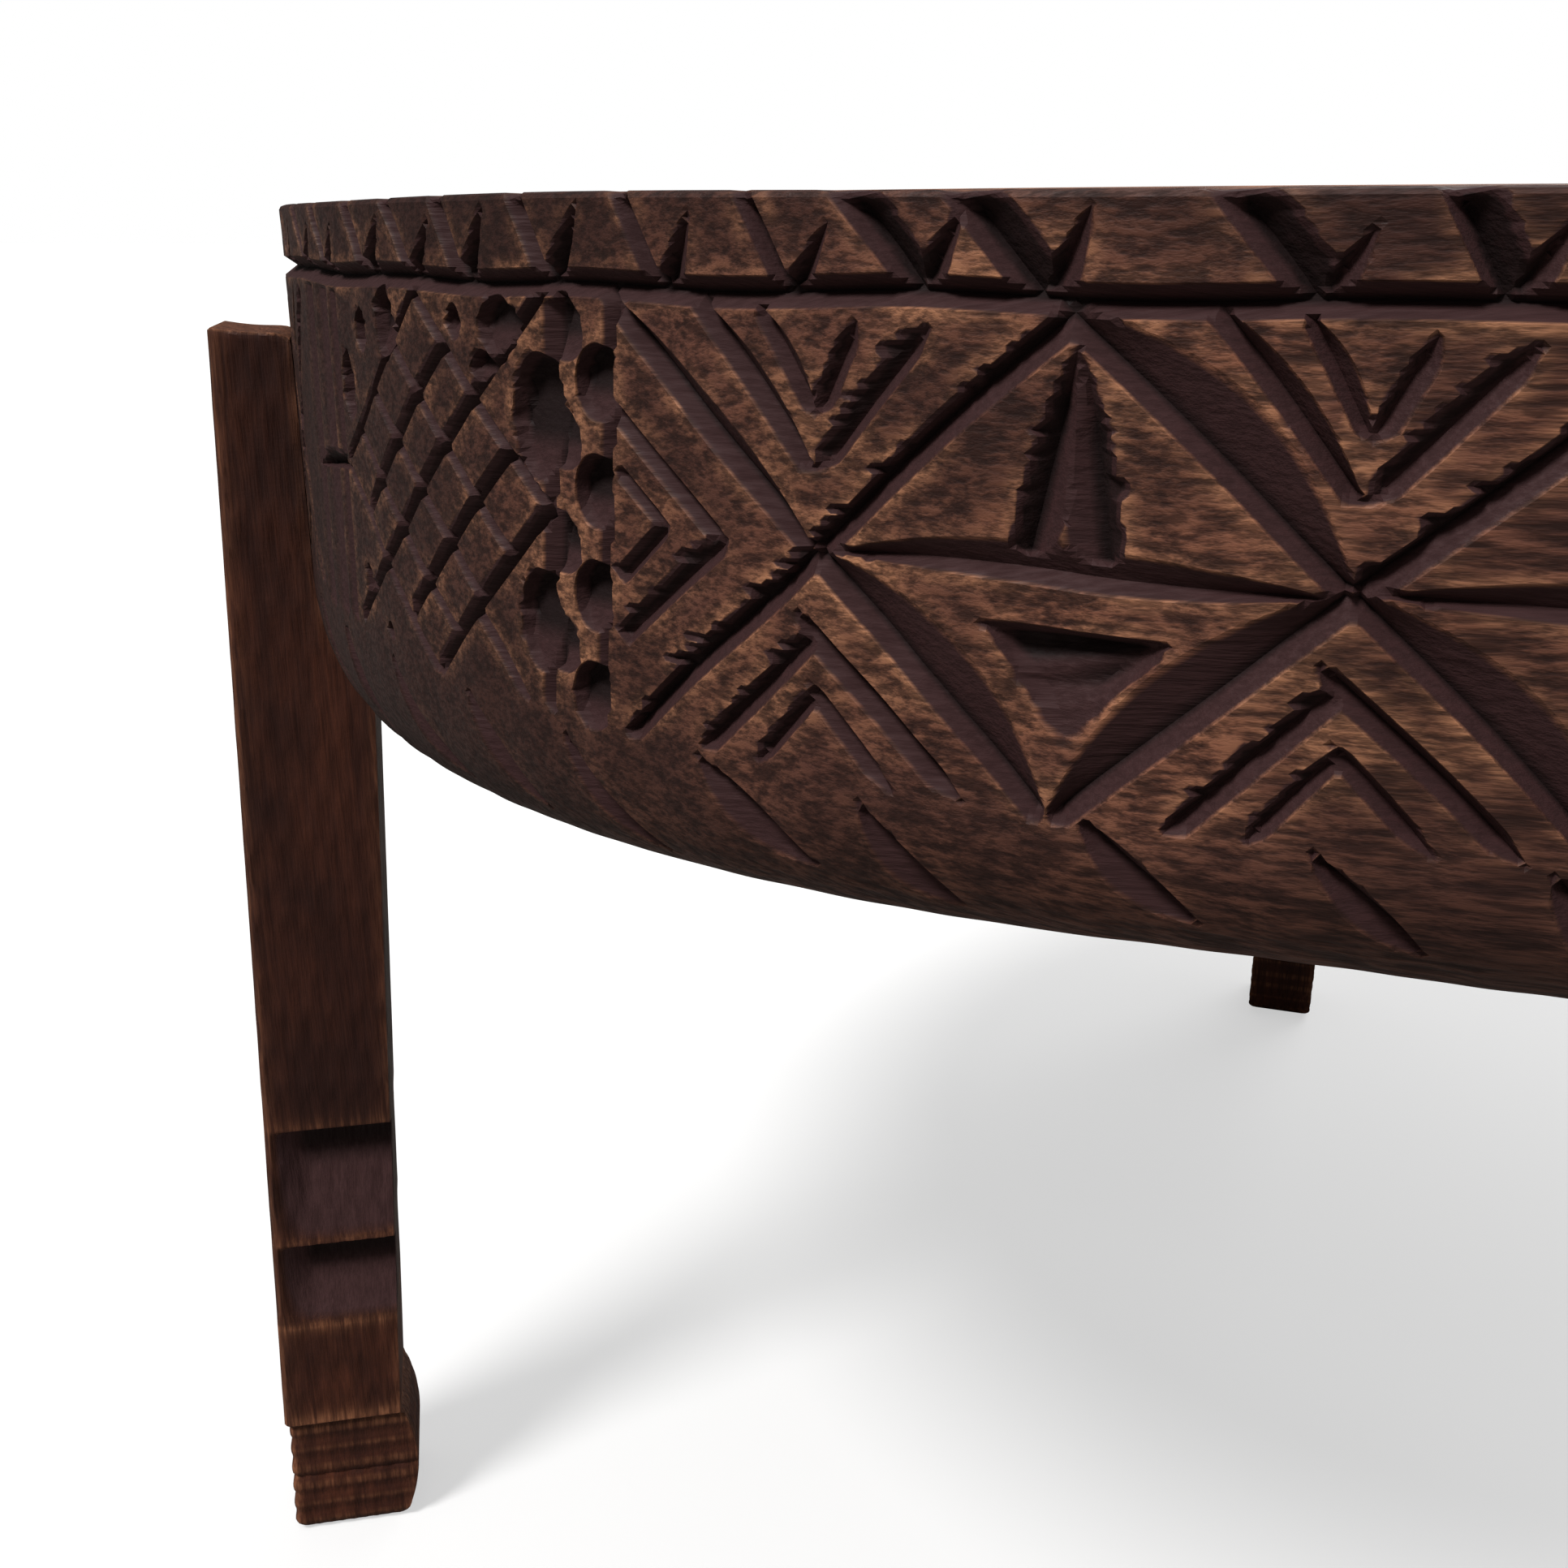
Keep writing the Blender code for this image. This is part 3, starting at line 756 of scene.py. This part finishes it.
def under_rings(body):
    """The underside, from the foot of the turn to its flat middle."""
    azimuth = azimuths(960)
    turn_r = RIM_R - TURN_RUN
    turn_z = RIM_Z - WALL_H - TURN_DROP - LEG_DIP * leg_nearness(azimuth)
    for share in np.linspace(0, 1, 26)[1:]:
        radius = turn_r + (UNDER_FLAT_R - turn_r) * share
        marks = scoop_marks(azimuth, radius, 0.021, 0.0009, 8) * min(share * 6, 1)
        body.ring(ring_points(azimuth, radius, turn_z + (UNDER_Z - turn_z) * share + marks), warmth_and_painted_light=0)
    bands = (480, 0.175, 0.09, 20), (240, 0.085, 0.036, 11), (120, 0.03, 0.006, 5)
    disc_rings(body, bands, (0.021, 0.0009, 8), 0.04, UNDER_Z, way=1, warmth_and_painted_light=0)
    body.end_cap((0, AXIS_Y, UNDER_Z + 0.0001))


def build_bowl():
    body = RingMesh()
    inner_rings(body)
    carved_rings(body)
    under_rings(body)
    return body.object("carved_bowl", sharp=15)


# ---- the legs

LEG_TOP_Z = RIM_Z - 0.029
LEG_TOP_OUT_R, LEG_FOOT_OUT_R = 1.065 * RIM_R, 1.115 * RIM_R
LEG_DEPTH_TOP, LEG_DEPTH_FOOT, LEG_W = 0.037, 0.035, 0.034
LEG_EDGE = 0.0014
NOTCH_TOPS = (0.1455, 0.1066)
NOTCH_DEPTH, NOTCH_STEEP_H, NOTCH_FLAT_H = 0.0058, 0.0014, 0.006
NOTCH_STOP, NOTCH_END_RUN = 0.0022, 0.0085
BLOCK_TOP_Z, FOOT_TOP_Z = 0.0787, 0.0415
FOOT_INSET, FOOT_RIDGES = 0.0012, 6
FOOT_SWELL = 0.0048
LEG_SIDE_POINTS, LEG_FACE_POINTS, LEG_ROW = 26, 20, 0.0013


def notch_depth(height):
    """How deep the notches cut into a side of the leg at each height."""
    deep = 0
    for top, low in zip(NOTCH_TOPS, (*NOTCH_TOPS[1:], BLOCK_TOP_Z)):
        steep = unit((top - height) / NOTCH_STEEP_H)
        slope = unit((height - low) / (top - NOTCH_FLAT_H - low))
        deep = np.maximum(deep, NOTCH_DEPTH * np.minimum(steep, slope) * (height < top) * (height > low))
    return deep


def foot_shape(height):
    """How far the foot's faces stand back, with the ridges that are filed across it."""
    below = unit((FOOT_TOP_Z - height) / 0.0012)
    rounded = unit(1 - height / 0.0045) ** 2
    return below * (FOOT_INSET + 0.0009 * (1 - foot_ridge(height))), rounded


def foot_ridge(height):
    """1 on the crest of each ridge of the foot and 0 in the lines between them."""
    return np.abs(np.sin(math.pi * (FOOT_TOP_Z - height) / FOOT_TOP_Z * FOOT_RIDGES)) ** 0.5


def wall_front(across, height):
    """How far from the bowl's axis, along the leg's middle, the leg meets the bowl."""
    drop = TURN_DROP + LEG_DIP
    low = (RIM_Z - WALL_H - height) / drop
    arc = RIM_R - TURN_RUN * (1 - np.sqrt(unit(1 - unit(low) ** 2)))
    return np.where(low < 1, np.sqrt((arc + LEG_GAP) ** 2 - across ** 2), 0)


def leg_section(height):
    """A ring of points round the leg: across it, how far from the bowl's axis, and what is carved and
    worn there."""
    share = height / LEG_TOP_Z
    outer = LEG_FOOT_OUT_R + (LEG_TOP_OUT_R - LEG_FOOT_OUT_R) * share
    depth = LEG_DEPTH_FOOT + (LEG_DEPTH_TOP - LEG_DEPTH_FOOT) * share
    inset, rounded = foot_shape(height)
    notch = notch_depth(height)
    half = LEG_W / 2 - inset - 0.0018 * rounded
    swell = FOOT_SWELL * math.sin(math.pi * min(height / FOOT_TOP_Z, 1)) ** 0.7 * (height < FOOT_TOP_Z)
    inner = outer - depth - swell + 0.0022 * rounded
    front = outer - inset - 0.0022 * rounded
    side = np.linspace(0, 1, LEG_SIDE_POINTS)
    face = np.linspace(-1, 1, LEG_FACE_POINTS + 2)[1:-1]
    across, out, carve, wear = [], [], [], []
    for sign in (-1, 1):
        along = side if sign < 0 else side[::-1]
        reach = np.maximum(front + (inner - front) * along, wall_front(half, height))
        into = notch * unit((front - reach - NOTCH_STOP) / NOTCH_END_RUN)
        across.append(sign * (half - into))
        out.append(reach)
        # Painted shadow: the deepest part of each notch, under its ledge, takes the wood's near-black
        # deep-cut colour.
        carve.append(np.where(into < 0.0002, 0, into / 0.006))
        near_edge = 0.45 * np.exp(-(front - reach) / 0.0018) + 0.35 * np.exp(-(reach - reach.min()) / 0.0016)
        wear.append(near_edge * (1 - into / 0.007))
        if sign < 0:
            middle = face * (half - 0.0004 - notch)
            across.append(middle)
            out.append(np.maximum(inner - 0.0003, wall_front(middle, height)))
        else:
            across.append(-face * half)
            out.append(np.full(len(face), front + 0.0002))
        carve.append(np.zeros(len(face)))
        wear.append(0.45 * np.exp(-(1 - np.abs(face)) * half / 0.0018))
    return [np.concatenate(parts) for parts in (across, out, carve, wear)]


def block_wear(height):
    """Worn borders of the block, the notches' lower ends and the foot's ridges."""
    borders = [(BLOCK_TOP_Z - 0.001, 0.8), (FOOT_TOP_Z + 0.0012, 1.6)]
    borders += [(top + 0.0012, 0.5) for top in NOTCH_TOPS]
    worn = sum(share * math.exp(-abs(height - border) / 0.0016) for border, share in borders)
    return worn + 0.35 * (foot_ridge(height) > 0.93) * (height < FOOT_TOP_Z)


def leg_glow(height):
    """How warm the leg's colour is: the block and the foot were handled most."""
    block = unit((BLOCK_TOP_Z + 0.001 - height) / 0.002)
    return 0.42 + 0.5 * block + 0.25 * unit((height - 0.2) / 0.06)


def rounded_corner(across, out, half, front):
    """Takes the sharp corner off the leg's long outer edges."""
    lean = np.clip(LEG_EDGE - (half - np.abs(across)), 0, None)
    reach = np.clip(LEG_EDGE - (front - out), 0, None)
    both = np.minimum(lean, reach) * 0.45
    return across - np.sign(across) * both, out - both


def leg_top_drop(level):
    """How far the leg's top lies below its highest corner. level runs from 0 inside to 1 outside."""
    inside = unit(level)
    return 0.0032 * np.exp(-inside / 0.1) + 0.0009 * np.sin(math.pi * inside) + 0.0008 * (1 - inside)


def leg_heights():
    """Rows up the leg, closer together at each ledge."""
    heights = list(np.arange(0.0012, LEG_TOP_Z - 0.004, LEG_ROW))
    for ledge in (*NOTCH_TOPS, BLOCK_TOP_Z, FOOT_TOP_Z):
        heights = [h for h in heights if abs(h - ledge) > 0.0016]
        heights += [ledge - 0.0012, ledge - 0.0004, ledge + 0.0002, ledge + 0.001]
    return [0, 0.0004] + sorted(heights)


def build_leg(name, azimuth, seed):
    body = RingMesh()
    phase = np.random.default_rng(seed).uniform(0, 6.3, 4)
    turn = math.radians(azimuth)
    def placed(across, out, height):
        x = out * math.sin(turn) + across * math.cos(turn)
        y = AXIS_Y - out * math.cos(turn) + across * math.sin(turn)
        return np.stack(np.broadcast_arrays(x, y, height), -1)
    def ring_at(height, top_share):
        across, out, carve, wear = leg_section(height)
        half, front = np.abs(across).max(), out.max()
        across, out = rounded_corner(across, out, half, front)
        whittle = 0.00035 * np.sin(height * 61 + phase[0]) + 0.0002 * np.sin(height * 170 + phase[1])
        facet = 0.0002 * np.sin(out * 900 + height * 95 + phase[2])
        facet = facet + 0.00025 * np.sin(height * 240 + phase[3])
        inward = np.abs(whittle) + np.abs(facet) * (wear < 0.5)
        across = across - np.sign(across) * np.minimum(inward, 0.0006)
        level = (out - out.min()) / (front - out.min() + 1e-9)
        points = placed(across, out, height - top_share * leg_top_drop(level))
        body.ring(points, carve=carve, wear=unit(wear + block_wear(height)), warmth_and_painted_light=leg_glow(height))
    across, out, _, _ = leg_section(0)
    body.cap(placed(0, out.mean(), 0).tolist())
    for share in (0.35, 0.7):
        body.ring(placed(across * share, out.mean() + (out - out.mean()) * share, 0))
    for height in leg_heights():
        ring_at(height, unit((height - (LEG_TOP_Z - 0.025)) / 0.025) ** 2)
    body.close_start()
    for height in (LEG_TOP_Z - 0.0022, LEG_TOP_Z - 0.0007):
        ring_at(height, 1)
    across, out, _, _ = leg_section(LEG_TOP_Z)
    middle = out.mean()
    for share in (0.95, 0.8, 0.6, 0.35, 0.12):
        spread = middle + (out - middle) * share
        level = (spread - out.min()) / (out.max() - out.min())
        drop = leg_top_drop(level) * (1 if share < 0.9 else 0.95)
        points = placed(across * share, spread, LEG_TOP_Z - drop)
        body.ring(points, wear=0.85 if share > 0.9 else 0.45, warmth_and_painted_light=1)
    body.end_cap(placed(0, middle, LEG_TOP_Z - 0.0028).tolist())
    return body.object(name, sharp=32)


# ---- materials

class Nodes:
    """Short names for building a node tree."""

    def __init__(self, owner):
        owner.use_nodes = True
        self.tree = owner.node_tree

    def feed(self, node, inputs):
        """Links or sets a node's inputs."""
        for key, value in inputs.items():
            socket = node.inputs[key]
            if hasattr(value, "is_linked"):
                self.tree.links.new(value, socket)
            elif value is not None:
                socket.default_value = (*value, 1) if socket.type == "RGBA" else value

    def add(self, kind, inputs=None, output=0, **settings):
        """Makes a node and gives one of its outputs."""
        node = self.tree.nodes.new(kind)
        for key, value in settings.items():
            setattr(node, key, value)
        self.feed(node, inputs or {})
        return node.outputs[output]

    def coordinates(self, scale, rotation=(0, 0, 0)):
        place = self.add("ShaderNodeTexCoord", output="Object")
        turned = self.add("ShaderNodeMapping", {"Vector": place, "Rotation": rotation})
        return self.add("ShaderNodeMapping", {"Vector": turned, "Scale": scale})

    def noise(self, vector, detail=3, roughness=0.55, distortion=0):
        inputs = {"Vector": vector, "Scale": 1, "Detail": detail, "Roughness": roughness,
                  "Distortion": distortion}
        return self.add("ShaderNodeTexNoise", inputs, "Fac")

    def layer(self, name):
        return self.add("ShaderNodeAttribute", output="Fac", attribute_name=name)

    def camera_ray(self):
        return self.add("ShaderNodeLightPath", output="Is Camera Ray")

    def times(self, first, second):
        return self.add("ShaderNodeMath", {0: first, 1: second}, operation="MULTIPLY")

    def plus(self, first, second):
        return self.add("ShaderNodeMath", {0: first, 1: second}, operation="ADD")

    def spread(self, value, low, high, to_low=0, to_high=1):
        """Stretches the part of value between low and high, and holds it at the ends."""
        inputs = {"Value": value, "From Min": low, "From Max": high, "To Min": to_low, "To Max": to_high}
        return self.add("ShaderNodeMapRange", inputs)

    def mix(self, share, first, second):
        return self.add("ShaderNodeMix", {0: share, 6: first, 7: second}, 2, data_type="RGBA")

    def bump(self, height, strength, distance, before=None):
        inputs = {"Strength": strength, "Distance": distance, "Height": height, "Normal": before}
        return self.add("ShaderNodeBump", inputs)


def surface(name):
    """A new material, its nodes, and its shader."""
    material = bpy.data.materials.new(name)
    nodes = Nodes(material)
    return material, nodes, nodes.tree.nodes["Principled BSDF"]


def wood(name, long_way, streaky, flat, warm, dark, recess, worn):
    """Oiled, hand-carved wood. long_way is the axis that its fibres follow, and streaky, from 0 to 1,
    says how dark the streaks along them are."""
    material, n, shader = surface(name)
    turn = (0, 0, -GRAIN_TURN)
    def along_grain(long, across):
        return n.coordinates(tuple(long if axis == long_way else across for axis in range(3)), turn)
    fibre = n.noise(along_grain(75, 1050), roughness=0.65)
    streak = n.noise(along_grain(22, 460), detail=4, roughness=0.66, distortion=0.1)
    blotch = n.noise(along_grain(20, 60), detail=5, roughness=0.66, distortion=0.4)
    cloud = n.noise(n.coordinates((26, 26, 34)), detail=4)
    hatch = n.noise(n.coordinates((420, 420, 1500)), detail=2)
    carve, wear, warmth_and_painted_light = map(n.layer, ("carve", "wear", "warmth_and_painted_light"))
    fine, lines = n.spread(fibre, 0.38, 0.62), n.spread(streak, 0.4, 0.6)
    # The warm colour and the darkening below are painted light and shade on the bowl, and the warmth of
    # handling on the legs.
    warmth = n.times(n.spread(blotch, 0.34, 0.64, 0.2, 1), n.spread(warmth_and_painted_light, 0.05, 0.95))
    warmth = n.times(warmth, n.spread(lines, 0.1, 0.9, 1 - 0.8 * streaky, 1))
    colour = n.mix(n.spread(warmth_and_painted_light, 0, 0.45, 0.9, 0), flat, dark)
    colour = n.mix(warmth, colour, warm)
    colour = n.mix(n.spread(cloud, 0.46, 0.62, 0, 0.5), colour, dark)
    streak_dark = tuple(0.42 * part for part in dark)
    colour = n.mix(n.spread(lines, 0, 0.7, 0.8 * streaky, 0), colour, streak_dark)
    colour = n.mix(n.spread(fine, 0, 0.7, 0.75 * streaky, 0), colour, streak_dark)
    edge = n.times(n.spread(fine, 0.2, 0.9, 0.35, 1), n.spread(lines, 0.1, 0.8, 0.3, 0.95))
    edge = n.times(wear, edge)
    # The worn edges are real wear, painted brighter still where the light is painted on.
    edge = n.times(edge, n.spread(warmth_and_painted_light, 0, 0.7, 0.35, 1))
    colour = n.mix(edge, colour, worn)
    cut = n.mix(n.spread(fibre, 0.35, 0.7), recess, tuple(1.45 * part for part in recess))
    # Painted shade: the deepest parts of the cuts, the torn upper faces and each leg notch under its ledge
    # are painted near black.
    cut = n.mix(n.spread(carve, 0.72, 0.97, 0, 0.88), cut, tuple(0.2 * part for part in recess))
    colour = n.mix(n.spread(carve, 0.04, 0.16), colour, cut)
    shine = n.spread(fine, 0, 1, 0.7, 0.52)
    first = n.bump(n.plus(fine, lines), 0.24, 0.0004)
    n.feed(shader, {"Base Color": colour, "Specular IOR Level": 0.16,
                    "Roughness": n.plus(shine, n.spread(carve, 0.04, 0.3, 0, 0.16)),
                    "Normal": n.bump(hatch, 0.12, 0.0004, before=first)})
    return material


def steel(name):
    """Dull steel of old slotted screws, browned here and there."""
    material, n, shader = surface(name)
    grime = n.noise(n.coordinates((500, 500, 500)), detail=5, roughness=0.65)
    brushed = n.noise(n.coordinates((4000, 900, 900)), detail=2)
    stained = n.spread(grime, 0.42, 0.66)
    n.feed(shader, {"Base Color": n.mix(stained, (0.36, 0.34, 0.31), (0.1, 0.055, 0.032)), "Metallic": 0.9,
                    "Roughness": n.spread(n.plus(stained, brushed), 0.3, 1.4, 0.32, 0.72),
                    "Normal": n.bump(brushed, 0.2, 0.0001)})
    return material


def floor_paper():
    """Pale paper that glows a little to the camera, and throws less light back up than it shows."""
    material, n, shader = surface("floor_paper")
    seen = n.camera_ray()
    n.feed(shader, {"Base Color": n.mix(seen, (0.22, 0.205, 0.19), (0.36, 0.36, 0.36)), "Roughness": 0.95,
                    "Emission Strength": n.times(seen, 0.55), "Emission Color": (1, 1, 1),
                    "Specular IOR Level": 0.1})
    return material


# ---- the scene

FLOOR_HALF = 30
# The viewpoint: just below the rim, near the wall, looking down and to the left.
IMAGE_SIDE, LENS_SIDE, SENSOR = 1932, 2000, 36
CAMERA_REACH, CAMERA_DROP = 1.741, 0.017  # distance from the axis and drop below the rim, in rim radii
CAMERA_PAN, CAMERA_TILT = math.radians(18.7), math.radians(19)


def dress(piece, material, node):
    piece.data.materials.append(material)
    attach(piece, "root")
    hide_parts(node)


def build_object():
    carved = wood("carved_wood", 0, 0.85, flat=(0.084, 0.0335, 0.0248), warm=(0.255, 0.103, 0.058),
                  dark=(0.026, 0.0102, 0.0086), recess=(0.028, 0.0115, 0.0118), worn=(0.42, 0.195, 0.102))
    dress(build_bowl(), carved, "bowl")
    stick = wood("leg_wood", 2, 0.3, flat=(0.029, 0.009, 0.0064), warm=(0.088, 0.026, 0.013),
                 dark=(0.019, 0.0066, 0.0054), recess=(0.04, 0.018, 0.018), worn=(0.3, 0.125, 0.062))
    for seed, (node, azimuth) in enumerate(LEGS.items()):
        dress(build_leg("carved_" + node, azimuth, 70 + seed), stick, node)
    metal = steel("screw_steel")
    for name in SCREWS:
        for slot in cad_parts[name].material_slots:
            slot.material = metal


def add_sun(name, towards, strength, angle, colour=(1, 1, 1)):
    """A far, soft light that shines from the direction towards."""
    light = bpy.data.lights.new(name, "SUN")
    light.energy, light.angle, light.color = strength, math.radians(angle), colour
    link(name, light).rotation_euler = Vector(towards).to_track_quat("Z", "Y").to_euler()


def build_studio():
    corners = [(FLOOR_HALF * x, FLOOR_HALF * y, 0) for x, y in ((-1, -1), (1, -1), (1, 1), (-1, 1))]
    mesh = bpy.data.meshes.new("floor")
    mesh.from_pydata(corners, [], [(0, 1, 2, 3)])
    mesh.materials.append(floor_paper())
    floor = link("floor", mesh)
    add_sun("key", (-0.26, -0.52, 0.82), 3.6, 16, (1, 0.985, 0.97))
    add_sun("top", (0.15, 0, 1), 1.2, 70)
    add_sun("back", (0.35, 0.8, 0.5), 1.3, 40)
    world = bpy.data.worlds.new("studio")
    n = Nodes(world)
    soft, white = n.tree.nodes["Background"], n.tree.nodes.new("ShaderNodeBackground")
    n.feed(soft, {"Color": (1, 0.98, 0.96), "Strength": 0.16})
    n.feed(white, {"Color": (1, 1, 1), "Strength": 1})
    choice = n.add("ShaderNodeMixShader", {0: n.camera_ray(), 1: soft.outputs[0], 2: white.outputs[0]})
    n.feed(n.tree.nodes["World Output"], {"Surface": choice})
    bpy.context.scene.world = world


def build_camera():
    data = bpy.data.cameras.new("camera")
    data.sensor_width = SENSOR
    data.lens = SENSOR * LENS_SIDE / IMAGE_SIDE
    data.clip_start = 0.01
    data.dof.use_dof = False
    camera = link("camera", data)
    camera.location = (0, AXIS_Y - CAMERA_REACH * RIM_R, RIM_Z - CAMERA_DROP * RIM_R)
    level = math.cos(CAMERA_TILT)
    way = Vector((-math.sin(CAMERA_PAN) * level, math.cos(CAMERA_PAN) * level, -math.sin(CAMERA_TILT)))
    camera.rotation_euler = way.to_track_quat("-Z", "Y").to_euler()
    bpy.context.scene.camera = camera


build_object()
build_studio()
build_camera()
bpy.context.scene.view_settings.view_transform = "Standard"
